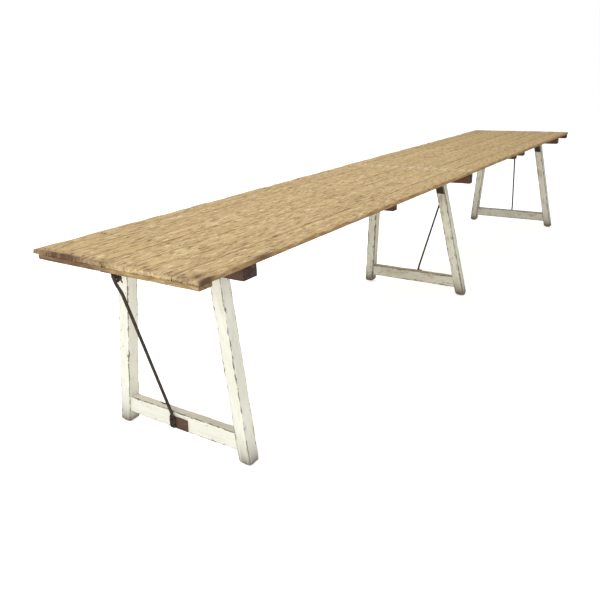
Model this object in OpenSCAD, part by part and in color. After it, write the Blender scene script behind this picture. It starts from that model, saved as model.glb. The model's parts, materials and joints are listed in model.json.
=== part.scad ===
// Long folding trestle table: eight planks wide, two plank runs long, on cross battens.
// Three splayed leg frames hinge under the battens, each held open by an iron stay rod.
// Row frame in mm: X along the table, near end at -X; Y across it; Z up, floor at 0.

/* [Table top] */
// Length of the top along X
table_length = 4346; // [4200:2:4500]
// Width of the top along Y
table_width = 762; // [756:1:790]
// Height of the top surface above the floor
table_height = 760; // [740:1:780]
// Thickness of the planks
plank_thickness = 17; // [14:0.5:24]
// Distance from the near end to the butt joint between the two plank runs
joint_from_near_end = 2162; // [2158:1:2178]
// Gap between neighbouring planks
plank_gap = 0.8; // [0.4:0.1:2]

/* [Battens] */
// Width along X of the two end battens
end_batten_width = 56; // [50:1:70]
// Height of the near end batten
end_batten_height = 15; // [12:0.5:18]
// Height of the far end batten
far_end_batten_height = 30; // [24:1:33]
// Width along X of the near hinge batten
near_batten_width = 68; // [60:1:76]
// Width along X of the far hinge batten
far_batten_width = 56; // [52:1:70]
// Width along X of the middle hinge batten, which also carries the butt joint
joint_batten_width = 40; // [39:1:60]
// Height of the hinge battens
hinge_batten_height = 53; // [50:0.5:60]
// Width along X of the intermediate battens
middle_batten_width = 38; // [36:1:60]
// Height of the intermediate battens
middle_batten_height = 33; // [26:0.5:40]
// Distance of the batten ends from the long edges
batten_inset = 22; // [14:1:30]
// The same distance for the joint batten and the -Y end of the far end batten
long_batten_inset = 4; // [2:1:12]
// Bevel on the lower corners at the batten ends
batten_bevel = 3; // [2:1:14]

/* [Leg frames] */
// Width of a leg across the table
leg_width = 50; // [44:1:54]
// Depth of a leg along the table
leg_depth = 50; // [44:1:52]
// Half the distance between the leg centres at the floor, on the near and middle frames
foot_half_spacing = 305; // [294:1:312]
// Lowest height of the stretcher
stretcher_bottom = 50; // [40:1:70]
// Height of the stretcher
stretcher_height = 68; // [60:1:80]
// Thickness of the stretcher along X
stretcher_thickness = 35; // [30:1:38]
// Thickness of the tenons
tenon_thickness = 14; // [10:1:18]

/* [Hinges] */
// Width of a hinge leaf
leaf_width = 40; // [36:1:42]
// Thickness of a hinge leaf
leaf_thickness = 4; // [3:0.5:5]
// Length of the leaf on the leg
leaf_length = 66; // [50:1:90]
// Outside radius of the hinge knuckles
knuckle_radius = 6.5; // [5.5:0.1:6.6]
// Radius of the hinge pins
pin_radius = 3; // [2.5:0.1:3.5]

/* [Stays] */
// Radius of the near stay rod
near_stay_radius = 6; // [5:0.1:6.2]
// Radius of the middle and far stay rods
thin_stay_radius = 5.8; // [5:0.1:6]
// Radius of the staple bars that the stays hang from
staple_radius = 4.6; // [4:0.1:4.7]

/* [Hidden] */
$fn = 48;

under_planks = table_height - plank_thickness;
hinge_z = under_planks - hinge_batten_height;
end_batten_z = under_planks - end_batten_height;
far_end_batten_z = under_planks - far_end_batten_height;
middle_batten_z = under_planks - middle_batten_height;

// Length of leg that is left below the floor before the feet are sawn level.
foot_waste = 6;

// How much wider than a bar the knobs at its bends are.
joint_swell = 1.06;

// Plank edges across the table, from the -Y edge, as shares of the width.
plank_edges = [0, 0.1444, 0.2913, 0.4016, 0.5394, 0.6562, 0.8045, 0.9055, 1];

// Batten centres, from the near end.
near_hinge_batten_x = 290 - near_batten_width / 2;
near_middle_batten_x = 1274;
joint_batten_x = 2143 + joint_batten_width / 2;
stay_batten_x = 3030;
far_middle_batten_x = 3210;
far_hinge_batten_x = 4092 + far_batten_width / 2;

// Each frame: hinge face, side it folds to (+1 or -1), lean in X, splay in Y, half spacing of the feet.
near_frame = [near_hinge_batten_x + near_batten_width / 2, 1, 0.022, 0.129, foot_half_spacing];
middle_frame = [joint_batten_x - joint_batten_width / 2, -1, -0.1855, 0.155, foot_half_spacing];
far_frame = [far_hinge_batten_x - far_batten_width / 2, -1, -0.190, 0.155, foot_half_spacing + 11];

// Each stay: eye centre, then the bends of the rod down to the tip; x from the near end, y from the -Y edge.
keeper_z = 112;
rod_gap = 1.6;
loop_reach = 20;
near_tip_z = 60;
stud_z = 94;
near_tip_x = keeper_face(near_frame, stud_z) - near_stay_radius - rod_gap;
middle_tip_x = keeper_face(middle_frame, keeper_z) + thin_stay_radius + rod_gap;
far_tip_x = keeper_face(far_frame, keeper_z) + thin_stay_radius + rod_gap;
near_eye = [30, 381, end_batten_z - 23];
middle_eye = [stay_batten_x, 436, middle_batten_z - 23];
far_eye = [table_length - 36, 398, far_end_batten_z - 23];
near_tip = [near_tip_x, 414, near_tip_z];
middle_tip = [middle_tip_x, 359, keeper_z - 3];
far_tip = [far_tip_x, 374, keeper_z - 3];
near_eye_radius = staple_radius + 0.3 + near_stay_radius;
thin_eye_radius = staple_radius + 0.3 + thin_stay_radius;

// Nail lines for each run of planks, and the shares of a plank's width where its two nails stand.
near_nail_lines = [
  end_batten_width / 2,
  near_hinge_batten_x + 14,
  near_middle_batten_x,
  joint_from_near_end - 11
];
far_nail_lines = [
  joint_from_near_end + 12,
  stay_batten_x + 4,
  far_middle_batten_x,
  far_hinge_batten_x,
  table_length - end_batten_width / 2
];
nail_shares = [0.24, 0.76];
nail_radius = 1.5;
nail_head_radius = 3.4;
nail_head_height = 1.4;
nail_length = 28;

function lx(x) = x - table_length / 2;
function wy(y) = y - table_width / 2;
function plank_start(i) = plank_edges[i] * table_width + (i == 0 ? 0 : plank_gap / 2);
function plank_end(i) = plank_edges[i + 1] * table_width - (i == 7 ? 0 : plank_gap / 2);
// Every nail is kept over the battens, which stop short of the long edges.
function nail_y(i, share) =
  max(batten_inset + 12, min(table_width - batten_inset - 12,
    plank_start(i) + share * (plank_end(i) - plank_start(i))));
function leg_face(frame) = frame[1] > 0 ? frame[0] - leg_depth : frame[0];
function top_half_spacing(frame) = frame[4] - frame[3] * hinge_z;
// Outer face of the stretcher at height z, measured from the near end.
function stretcher_inset() = (leg_depth - stretcher_thickness) / 2;
function outer_face(frame, z) =
  leg_face(frame) + frame[2] * (z - hinge_z)
  + (frame[1] > 0 ? stretcher_inset() : leg_depth - stretcher_inset());
function keeper_face(frame, z) = outer_face(frame, z) - frame[1] * 4;
function hinge_axis_x(frame) = frame[0] + frame[1] * (knuckle_radius + 0.5);
function shift(p) = [lx(p[0]), wy(p[1]), p[2]];

// A nail with its head flush with the top surface.
module nail(grow) {
  translate([0, 0, table_height - nail_length])
    cylinder(r = nail_radius + grow, h = nail_length - nail_head_height / 2);
  translate([0, 0, table_height - nail_head_height - grow])
    cylinder(r = nail_head_radius + grow, h = nail_head_height + 2 * grow);
}

module nails(lines, grow, rows) {
  for (x = lines)
    for (i = rows)
      for (share = nail_shares)
        translate([lx(x), wy(nail_y(i, share)), 0])
          nail(grow);
}

module plank(i, x0, x1, lines) {
  difference() {
    translate([lx(x0), wy(plank_start(i)), under_planks])
      cube([x1 - x0, plank_end(i) - plank_start(i), plank_thickness]);
    nails(lines, 0.1, [i]);
  }
}

module near_plank(i) {
  plank(i, 0, joint_from_near_end - 0.5, near_nail_lines);
}

module far_plank(i) {
  plank(i, joint_from_near_end + 0.5, table_length, far_nail_lines);
}

// A cross batten under the planks with bevelled lower corners.
module batten(xc, width, height, y0, y1, lines) {
  z0 = under_planks - height;
  difference() {
    translate([lx(xc) - width / 2, 0, 0])
      rotate([90, 0, 90])
        linear_extrude(height = width)
          polygon([
            [wy(y0), under_planks],
            [wy(y0), z0 + batten_bevel * height / 53],
            [wy(y0) + batten_bevel, z0],
            [wy(y1) - batten_bevel, z0],
            [wy(y1), z0 + batten_bevel * height / 53],
            [wy(y1), under_planks]
          ]);
    nails(lines, 0.1, [0 : 7]);
  }
}

// Slants its children with a leg frame's lean: x = 0 becomes the front face of the legs.
module leaning(frame) {
  multmatrix([
    [1, 0, frame[2], lx(leg_face(frame)) - frame[2] * hinge_z],
    [0, 1, 0, 0],
    [0, 0, 1, 0],
    [0, 0, 0, 1]
  ])
    children();
}

module tenon_block(frame, grow) {
  reach = frame[4] - frame[3] * (stretcher_bottom + stretcher_height / 2) - leg_width / 2 + 26;
  translate([
    (leg_depth - tenon_thickness) / 2 - grow,
    -reach - grow,
    stretcher_bottom + 12 - grow
  ])
    cube([tenon_thickness + 2 * grow, 2 * (reach + grow), stretcher_height - 24 + 2 * grow]);
}

// One leg, sawn off level with the floor: side -1 is the -Y leg, side +1 the +Y leg.
module leg(frame, side) {
  difference() {
    leaning(frame)
      multmatrix([
        [1, 0, 0, 0],
        [0, 1, -side * frame[3], side * frame[4]],
        [0, 0, 1, 0],
        [0, 0, 0, 1]
      ])
        translate([0, -leg_width / 2, -foot_waste])
          cube([leg_depth, leg_width, hinge_z - 0.5 + foot_waste]);
    leaning(frame)
      tenon_block(frame, 0.2);
    translate([-table_length, -table_width, -3 * foot_waste])
      cube([2 * table_length, 2 * table_width, 3 * foot_waste]);
  }
}

module stretcher(frame) {
  z0 = stretcher_bottom;
  z1 = stretcher_bottom + stretcher_height;
  y0 = frame[4] - frame[3] * z0 - leg_width / 2 - 0.2;
  y1 = frame[4] - frame[3] * z1 - leg_width / 2 - 0.2;
  leaning(frame)
    union() {
      translate([stretcher_inset(), 0, 0])
        rotate([90, 0, 90])
          linear_extrude(height = stretcher_thickness)
            polygon([[-y0, z0], [y0, z0], [y1, z1], [-y1, z1]]);
      tenon_block(frame, 0);
    }
}

// A cylinder along Y at the hinge axis, centred on y.
module along_y(frame, y, r, length) {
  translate([lx(hinge_axis_x(frame)), y - length / 2, hinge_z])
    rotate([-90, 0, 0])
      cylinder(r = r, h = length);
}

// Plates on the batten, with the two outer knuckles of each hinge.
module hinge_plates(frame) {
  face = lx(frame[0]);
  low = frame[1] > 0 ? face : face - leaf_thickness;
  outer = leaf_width / 2 - 5.5;
  for (side = [-1, 1]) {
    yc = side * top_half_spacing(frame);
    difference() {
      union() {
        translate([low, yc - leaf_width / 2, hinge_z])
          cube([leaf_thickness, leaf_width, hinge_batten_height - 6]);
        for (end = [-1, 1])
          along_y(frame, yc + end * outer, knuckle_radius, 11);
      }
      along_y(frame, yc, knuckle_radius + 0.4, leaf_width - 22);
      along_y(frame, yc, pin_radius + 0.05, leaf_width + 2);
    }
  }
}

// Flaps on the legs, with the middle knuckle of each hinge.
module hinge_flaps(frame) {
  back = frame[1] > 0 ? leg_depth : -leaf_thickness;
  outer = leaf_width / 2 - 5;
  for (side = [-1, 1]) {
    yc = side * top_half_spacing(frame);
    difference() {
      union() {
        difference() {
          leaning(frame)
            multmatrix([
              [1, 0, 0, 0],
              [0, 1, -side * frame[3], side * frame[4]],
              [0, 0, 1, 0],
              [0, 0, 0, 1]
            ])
              translate([back, -leaf_width / 2, hinge_z - leaf_length])
                cube([leaf_thickness, leaf_width, leaf_length - 0.5]);
          for (end = [-1, 1])
            along_y(frame, yc + end * outer, knuckle_radius + 0.4, 13);
        }
        along_y(frame, yc, knuckle_radius, leaf_width - 23);
      }
      along_y(frame, yc, pin_radius + 0.05, leaf_width + 2);
    }
  }
}

module hinge_pins(frame) {
  for (side = [-1, 1]) {
    yc = side * top_half_spacing(frame);
    along_y(frame, yc, pin_radius, leaf_width + 3);
    for (end = [-1, 1])
      along_y(frame, yc + end * (leaf_width / 2 + 1), pin_radius + 1.8, 1.6);
  }
}

// A round bar between two points, with forged knobs a little wider than it at its ends.
module bar(p, q, r) {
  d = q - p;
  length = norm(d);
  translate(p)
    rotate([0, acos(d[2] / length), atan2(d[1], d[0])])
      cylinder(r = r, h = length);
  translate(p)
    sphere(r = r * joint_swell);
  translate(q)
    sphere(r = r * joint_swell);
}

// A forged rod: a ring round the staple, a short tail, then the bends down to the tip.
module stay(eye, ring, r, bends, tail) {
  $fn = 28;
  e = shift(eye);
  pts = [for (b = bends) shift(b)];
  union() {
    translate(e)
      rotate([90, 0, 0])
        rotate_extrude()
          translate([ring, 0])
            circle(r = r);
    for (i = [0 : len(pts) - 2])
      bar(pts[i], pts[i + 1], r);
    bar(e + tail[0], e + tail[1], 2.6);
  }
}

// The long link forged on the foot of the near stay, which drops over the keeper's stud.
module foot_link(tip) {
  $fn = 28;
  t = shift(tip);
  for (side = [-1, 1]) {
    bar(t + [0, 0, 58], t + [0, side * 9, 40], 3.7);
    bar(t + [0, side * 9, 40], t + [0, side * 10, 0], 3.5);
  }
  bar(t + [0, -10, 0], t + [0, 10, 0], 4.3);
}

// Plate under a batten with the U-shaped staple that the stay's ring goes round.
module staple(eye, plate_z, x_width, y_width) {
  e = shift(eye);
  half = 18;
  union() {
    translate([e[0] - x_width / 2, e[1] - y_width / 2, plate_z - 4])
      cube([x_width, y_width, 4]);
    bar(e + [0, -half, 0], e + [0, half, 0], staple_radius);
    for (end = [-half, half])
      translate(e + [0, end, 0])
        cylinder(r = staple_radius, h = plate_z - 3 - eye[2]);
  }
}

// Plate on the stretcher's outer face, from y0 to y1 and z0 to z1, with a raised border.
module keeper_plate(frame, y0, y1, z0, z1) {
  border = 4;
  rise = 1.2;
  back = frame[1] > 0 ? stretcher_inset() - 4 : leg_depth - stretcher_inset();
  leaning(frame)
    difference() {
      translate([back - (frame[1] > 0 ? rise : 0), wy(y0), z0])
        cube([4 + rise, y1 - y0, z1 - z0]);
      translate([frame[1] > 0 ? back - 2 * rise : back + 4, wy(y0) + border, z0 + border])
        cube([2 * rise, y1 - y0 - 2 * border, z1 - z0 - 2 * border]);
    }
}

// Plate with the loop that the tip of a thin stay drops into.
module loop_keeper(frame, tip, y0, y1) {
  out = -frame[1];
  t = shift(tip);
  face = lx(keeper_face(frame, keeper_z));
  end = t[0] + out * loop_reach;
  union() {
    keeper_plate(frame, y0, y1, stretcher_bottom + 4, stretcher_bottom + stretcher_height - 2);
    for (side = [-12, 12])
      translate([(face - out + end) / 2, t[1] + side, keeper_z - 4])
        rotate([0, 90, 0])
          cylinder(r = 2.9, h = abs(end - face + out), center = true);
    translate([end, t[1], keeper_z - 4])
      rotate([90, 0, 0])
        cylinder(r = 3.2, h = 31, center = true);
  }
}

// Plate with the stud that the near stay's foot link hangs on.
module stud_keeper(frame, tip, y0, y1) {
  t = shift(tip);
  face = lx(keeper_face(frame, stud_z));
  reach = 19;
  union() {
    keeper_plate(frame, y0, y1, stretcher_bottom + 4, stretcher_bottom + 50);
    translate([face - reach, t[1], stud_z])
      rotate([0, 90, 0])
        cylinder(r = 3.2, h = reach + 1);
  }
}

module near_plank_1() { color([0.78, 0.66, 0.48]) near_plank(0); }
module near_plank_2() { color([0.76, 0.64, 0.46]) near_plank(1); }
module near_plank_3() { color([0.79, 0.67, 0.49]) near_plank(2); }
module near_plank_4() { color([0.75, 0.63, 0.45]) near_plank(3); }
module near_plank_5() { color([0.77, 0.65, 0.47]) near_plank(4); }
module near_plank_6() { color([0.78, 0.66, 0.48]) near_plank(5); }
module near_plank_7() { color([0.74, 0.62, 0.44]) near_plank(6); }
module near_plank_8() { color([0.76, 0.64, 0.46]) near_plank(7); }
module far_plank_1() { color([0.76, 0.64, 0.47]) far_plank(0); }
module far_plank_2() { color([0.78, 0.66, 0.49]) far_plank(1); }
module far_plank_3() { color([0.75, 0.63, 0.46]) far_plank(2); }
module far_plank_4() { color([0.77, 0.65, 0.48]) far_plank(3); }
module far_plank_5() { color([0.79, 0.67, 0.50]) far_plank(4); }
module far_plank_6() { color([0.75, 0.63, 0.46]) far_plank(5); }
module far_plank_7() { color([0.77, 0.65, 0.48]) far_plank(6); }
module far_plank_8() { color([0.76, 0.64, 0.47]) far_plank(7); }

module near_nails() {
  color([0.28, 0.24, 0.2])
    nails(near_nail_lines, 0, [0 : 7]);
}

module far_nails() {
  color([0.28, 0.24, 0.2])
    nails(far_nail_lines, 0, [0 : 7]);
}

module near_end_batten() {
  color([0.7, 0.58, 0.4])
    batten(end_batten_width / 2, end_batten_width, end_batten_height,
      0, table_width - 30, [near_nail_lines[0]]);
}

module near_hinge_batten() {
  color([0.33, 0.17, 0.12])
    batten(near_hinge_batten_x, near_batten_width, hinge_batten_height,
      batten_inset, table_width - batten_inset, [near_nail_lines[1]]);
}

module near_middle_batten() {
  color([0.33, 0.17, 0.12])
    batten(near_middle_batten_x, middle_batten_width, middle_batten_height,
      batten_inset, table_width - batten_inset, [near_nail_lines[2]]);
}

// The two nail lines of the butt joint both go into this batten, so it has both sets of holes.
module joint_hinge_batten() {
  color([0.33, 0.17, 0.12])
    difference() {
      batten(joint_batten_x, joint_batten_width, hinge_batten_height,
        long_batten_inset, table_width - long_batten_inset, [near_nail_lines[3]]);
      nails([far_nail_lines[0]], 0.1, [0 : 7]);
    }
}

module stay_batten() {
  color([0.33, 0.17, 0.12])
    batten(stay_batten_x, middle_batten_width, middle_batten_height,
      batten_inset, table_width - batten_inset, [far_nail_lines[1]]);
}

module far_middle_batten() {
  color([0.33, 0.17, 0.12])
    batten(far_middle_batten_x, middle_batten_width, middle_batten_height,
      batten_inset, table_width - batten_inset, [far_nail_lines[2]]);
}

module far_hinge_batten() {
  color([0.33, 0.17, 0.12])
    batten(far_hinge_batten_x, far_batten_width, hinge_batten_height,
      batten_inset, table_width - batten_inset, [far_nail_lines[3]]);
}

module far_end_batten() {
  color([0.33, 0.17, 0.12])
    batten(table_length - end_batten_width / 2, end_batten_width, far_end_batten_height,
      long_batten_inset, table_width - batten_inset, [far_nail_lines[4]]);
}

module near_leg_right() { color([0.82, 0.8, 0.7]) leg(near_frame, -1); }
module near_leg_left() { color([0.82, 0.8, 0.7]) leg(near_frame, 1); }
module near_stretcher() { color([0.82, 0.8, 0.7]) stretcher(near_frame); }
module middle_leg_right() { color([0.8, 0.78, 0.68]) leg(middle_frame, -1); }
module middle_leg_left() { color([0.8, 0.78, 0.68]) leg(middle_frame, 1); }
module middle_stretcher() { color([0.8, 0.78, 0.68]) stretcher(middle_frame); }
module far_leg_right() { color([0.78, 0.76, 0.68]) leg(far_frame, -1); }
module far_leg_left() { color([0.78, 0.76, 0.68]) leg(far_frame, 1); }
module far_stretcher() { color([0.78, 0.76, 0.68]) stretcher(far_frame); }
module near_hinge_plates() { color([0.14, 0.13, 0.12]) hinge_plates(near_frame); }
module near_hinge_flaps() { color([0.14, 0.13, 0.12]) hinge_flaps(near_frame); }
module near_hinge_pins() { color([0.2, 0.19, 0.18]) hinge_pins(near_frame); }
module middle_hinge_plates() { color([0.14, 0.13, 0.12]) hinge_plates(middle_frame); }
module middle_hinge_flaps() { color([0.14, 0.13, 0.12]) hinge_flaps(middle_frame); }
module middle_hinge_pins() { color([0.2, 0.19, 0.18]) hinge_pins(middle_frame); }
module far_hinge_plates() { color([0.14, 0.13, 0.12]) hinge_plates(far_frame); }
module far_hinge_flaps() { color([0.14, 0.13, 0.12]) hinge_flaps(far_frame); }
module far_hinge_pins() { color([0.2, 0.19, 0.18]) hinge_pins(far_frame); }

module near_stay() {
  color([0.2, 0.17, 0.14])
    union() {
      stay(near_eye, near_eye_radius, near_stay_radius, [
        near_eye + [3, 2, -near_eye_radius],
        near_eye + [15, 12, -29],
        near_tip + [0, 0, 58]
      ], [[near_eye_radius, 0, -2], [15, -7, -20]]);
      foot_link(near_tip);
      bar(shift(near_tip + [-14, -2, 104]), shift(near_tip + [-18, 15, 101]), 2.6);
      bar(shift(near_tip + [-18, 15, 101]), shift(near_tip + [-19, 29, 106]), 2.2);
    }
}

module near_stay_staple() {
  color([0.2, 0.17, 0.14])
    staple(near_eye, end_batten_z, 44, 96);
}

module near_stay_keeper() {
  color([0.36, 0.22, 0.16])
    stud_keeper(near_frame, near_tip, 346, 424);
}

module middle_stay() {
  color([0.2, 0.17, 0.14])
    stay(middle_eye, thin_eye_radius, thin_stay_radius, [
      middle_eye + [-5, 0, -thin_eye_radius + 1],
      middle_eye + [-30, -2, -22],
      middle_tip + [14, 1, 30],
      middle_tip + [0, 0, 12],
      middle_tip
    ], [[-thin_eye_radius, 0, 2], [-14, 6, -14]]);
}

module middle_stay_staple() {
  color([0.2, 0.17, 0.14])
    staple(middle_eye, middle_batten_z, 36, 80);
}

module middle_stay_keeper() {
  color([0.36, 0.22, 0.16])
    loop_keeper(middle_frame, middle_tip, 318, 400);
}

module far_stay() {
  color([0.2, 0.17, 0.14])
    stay(far_eye, thin_eye_radius, thin_stay_radius, [
      far_eye + [-3, 0, -thin_eye_radius],
      far_eye + [-12, -1, -30],
      far_tip + [6, 0, 34],
      far_tip
    ], [[-thin_eye_radius, 0, 2], [-14, 6, -14]]);
}

module far_stay_staple() {
  color([0.2, 0.17, 0.14])
    staple(far_eye, far_end_batten_z, 44, 80);
}

module far_stay_keeper() {
  color([0.36, 0.22, 0.16])
    loop_keeper(far_frame, far_tip, 332, 414);
}

near_plank_1();
near_plank_2();
near_plank_3();
near_plank_4();
near_plank_5();
near_plank_6();
near_plank_7();
near_plank_8();
far_plank_1();
far_plank_2();
far_plank_3();
far_plank_4();
far_plank_5();
far_plank_6();
far_plank_7();
far_plank_8();
near_nails();
far_nails();
near_end_batten();
near_hinge_batten();
near_middle_batten();
joint_hinge_batten();
stay_batten();
far_middle_batten();
far_hinge_batten();
far_end_batten();
near_leg_right();
near_leg_left();
near_stretcher();
middle_leg_right();
middle_leg_left();
middle_stretcher();
far_leg_right();
far_leg_left();
far_stretcher();
near_hinge_plates();
near_hinge_flaps();
near_hinge_pins();
middle_hinge_plates();
middle_hinge_flaps();
middle_hinge_pins();
far_hinge_plates();
far_hinge_flaps();
far_hinge_pins();
near_stay();
near_stay_staple();
near_stay_keeper();
middle_stay();
middle_stay_staple();
middle_stay_keeper();
far_stay();
far_stay_staple();
far_stay_keeper();
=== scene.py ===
import json
import math

import bmesh
import bpy
import numpy as np
from mathutils import Matrix, Vector


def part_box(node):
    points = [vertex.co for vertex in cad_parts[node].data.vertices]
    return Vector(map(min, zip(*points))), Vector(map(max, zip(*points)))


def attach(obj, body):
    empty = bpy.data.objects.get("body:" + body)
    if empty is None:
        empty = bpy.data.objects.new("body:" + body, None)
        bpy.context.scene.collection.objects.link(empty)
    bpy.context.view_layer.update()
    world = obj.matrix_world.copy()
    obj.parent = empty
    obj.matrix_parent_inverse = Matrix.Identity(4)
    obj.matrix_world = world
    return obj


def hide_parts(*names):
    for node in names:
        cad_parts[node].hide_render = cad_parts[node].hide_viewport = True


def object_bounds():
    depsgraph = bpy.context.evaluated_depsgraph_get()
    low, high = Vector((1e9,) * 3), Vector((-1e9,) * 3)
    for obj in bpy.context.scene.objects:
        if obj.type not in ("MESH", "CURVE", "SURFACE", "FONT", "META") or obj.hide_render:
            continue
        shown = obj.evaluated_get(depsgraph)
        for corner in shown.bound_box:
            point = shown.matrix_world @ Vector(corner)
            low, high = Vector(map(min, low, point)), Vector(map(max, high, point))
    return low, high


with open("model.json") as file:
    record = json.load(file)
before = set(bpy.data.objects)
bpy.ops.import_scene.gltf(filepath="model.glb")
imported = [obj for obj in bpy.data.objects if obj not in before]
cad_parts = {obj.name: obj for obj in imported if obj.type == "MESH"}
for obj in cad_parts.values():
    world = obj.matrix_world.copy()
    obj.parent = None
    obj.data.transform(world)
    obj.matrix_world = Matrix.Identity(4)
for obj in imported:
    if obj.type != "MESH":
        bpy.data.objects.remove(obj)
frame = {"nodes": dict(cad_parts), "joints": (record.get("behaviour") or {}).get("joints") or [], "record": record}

# %% [markdown]
# # A folding trestle table
# This lesson dresses an old harvest table: eight weathered planks across, two runs of them end to
# end, battens below, and three painted leg frames that fold on iron hinges. The solid model that
# was just loaded gives every place and size. Here each plain solid gets a worn, detailed stand-in
# that follows the same body, so it still folds.

# %% The frame and its overall box
cad_low, cad_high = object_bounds()
record = frame["record"]
BODY_OF = {n: body for body, nodes in record["behaviour"]["bodies"].items() for n in nodes}
JOINT_AT = {joint["name"]: Vector(joint["pos_m"]) for joint in frame["joints"]}
TOP_Z = cad_high.z
print("table box", tuple(cad_low), tuple(cad_high), "with", len(BODY_OF), "solids")

# %% [markdown]
# ## The camera
# The camera stands beyond the near end, off to the right of the table and a little above the
# top, so the top runs away from us. It is made first, because everything after it is judged
# through it. Its direction is built from a heading, a downward pitch and a slight roll.

# %% Camera
CAMERA_PLACE = Vector((-3.4117, -1.5763, 1.3009))
HEADING = 0.6051
PITCH = 0.3431
ROLL = -0.0372
LENS = 38.64


def make_camera():
    data = bpy.data.cameras.new("table_camera")
    data.lens = LENS
    data.sensor_width = 36.0
    camera = bpy.data.objects.new("table_camera", data)
    ahead = Vector((
        math.cos(HEADING) * math.cos(PITCH),
        math.sin(HEADING) * math.cos(PITCH),
        -math.sin(PITCH),
    ))
    right = Vector((math.sin(HEADING), -math.cos(HEADING), 0))
    up = right.cross(ahead)
    rolled_right = math.cos(ROLL) * right + math.sin(ROLL) * up
    rolled_up = -math.sin(ROLL) * right + math.cos(ROLL) * up
    turn = Matrix((rolled_right, rolled_up, -ahead)).transposed().to_4x4()
    camera.matrix_world = Matrix.Translation(CAMERA_PLACE) @ turn
    bpy.context.collection.objects.link(camera)
    bpy.context.scene.camera = camera
    return camera


camera = make_camera()
print("camera at", tuple(round(x, 3) for x in camera.location))

# %% [markdown]
# ## Room: floor and light
# The floor is a plain pale sheet. The light is an even white surround plus two large soft panels:
# one beyond the near end, so the end faces of the legs glow and their long sides fall into a soft
# grey-green shade, and one over the top. A large panel gives soft shadow edges. The surround and
# the floor's own glow light the table less than they show, so the ground stays white while the
# table keeps its shading. A plain brighter surround would have washed the legs out.

# %% Floor and lights
FLOOR_HALF = 14.0
FLOOR_DROP = 0.0005
FLOOR_GLOW = 0.28
FLOOR_SEEN_GLOW = 0.60
SURROUND = 0.50
# Each panel: its place, the point it faces, its two sides and its power in watts.
PANELS = {
    "end_panel": ((-5.6, -1.2, 2.6), (-1.2, 0.0, 0.3), (3.0, 3.0), 112),
    "top_panel": ((-0.2, 0.7, 4.2), (0.2, 0.0, 0.7), (6.0, 3.0), 100),
}


def seen_or_not(tree, as_light, as_seen, socket):
    """Gives a socket one value where it lights the table and another where it is looked at."""
    seen = tree.nodes.new("ShaderNodeLightPath").outputs["Is Camera Ray"]
    level = tree.nodes.new("ShaderNodeMapRange")
    level.inputs["To Min"].default_value = as_light
    level.inputs["To Max"].default_value = as_seen
    tree.links.new(seen, level.inputs["Value"])
    tree.links.new(level.outputs["Result"], socket)


def make_floor():
    mesh = bpy.data.meshes.new("studio_floor")
    signs = [(-1, -1), (1, -1), (1, 1), (-1, 1)]
    corners = [(FLOOR_HALF * x, FLOOR_HALF * y, -FLOOR_DROP) for x, y in signs]
    mesh.from_pydata(corners, [], [(0, 1, 2, 3)])
    floor = bpy.data.objects.new("studio_floor", mesh)
    bpy.context.collection.objects.link(floor)
    paint = bpy.data.materials.new("studio_floor_paint")
    paint.use_nodes = True
    shader = paint.node_tree.nodes["Principled BSDF"]
    shader.inputs["Base Color"].default_value = (0.94, 0.95, 0.96, 1)
    shader.inputs["Emission Color"].default_value = (1, 1, 1, 1)
    seen_or_not(paint.node_tree, FLOOR_GLOW, FLOOR_SEEN_GLOW, shader.inputs["Emission Strength"])
    shader.inputs["Roughness"].default_value = 0.9
    shader.inputs["Specular IOR Level"].default_value = 0.1
    mesh.materials.append(paint)


def make_panel(name, place, aim, size, watts):
    data = bpy.data.lights.new(name, "AREA")
    data.shape = "RECTANGLE"
    data.size, data.size_y = size
    data.energy = watts
    panel = bpy.data.objects.new(name, data)
    panel.location = place
    panel.rotation_euler = (Vector(aim) - Vector(place)).to_track_quat("-Z", "Y").to_euler()
    bpy.context.collection.objects.link(panel)


def make_surround():
    world = bpy.data.worlds.new("white_studio")
    world.use_nodes = True
    back = world.node_tree.nodes["Background"]
    back.inputs["Color"].default_value = (1.0, 1.0, 1.0, 1)
    seen_or_not(world.node_tree, SURROUND, 1.0, back.inputs["Strength"])
    bpy.context.scene.world = world


make_floor()
make_surround()
for name, (place, aim, size, watts) in PANELS.items():
    make_panel(name, place, aim, size, watts)
bpy.context.scene.view_settings.view_transform = "Standard"
bpy.context.scene.view_settings.look = "None"

# %% [markdown]
# ## Uneven surfaces in numbers
# Old wood is never even. A small value noise, made from a hash of whole-number lattice corners
# with smooth steps between them, gives the same unevenness on every run. It is stretched along
# the grain wherever it stands for wood fibres.

# %% Value noise
HASH_STEPS = (374761393, 668265263, 2246822519, 1274126177)


def lattice(i, j, seed):
    a, b, c, d = (np.uint64(step) for step in HASH_STEPS)
    h = (i.astype(np.int64).astype(np.uint64) * a + j.astype(np.int64).astype(np.uint64) * b
         + np.uint64(seed) * c) & np.uint64(0xFFFFFFFF)
    h = ((h ^ (h >> np.uint64(13))) * d) & np.uint64(0xFFFFFFFF)
    return ((h ^ (h >> np.uint64(16))) & np.uint64(0xFFFF)).astype(float) / 65535.0


def uneven(u, v, seed):
    """Smooth noise from 0 to 1 over the plane u, v."""
    u, v = np.broadcast_arrays(np.asarray(u, float), np.asarray(v, float))
    i, j = np.floor(u), np.floor(v)
    s, t = u - i, v - j
    s, t = s * s * (3 - 2 * s), t * t * (3 - 2 * t)
    low = lattice(i, j, seed) * (1 - s) + lattice(i + 1, j, seed) * s
    high = lattice(i, j + 1, seed) * (1 - s) + lattice(i + 1, j + 1, seed) * s
    return low * (1 - t) + high * t


check = uneven(np.linspace(0, 9, 200), 0.0, 1)
print("noise runs from", round(check.min(), 2), "to", round(check.max(), 2))

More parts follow.
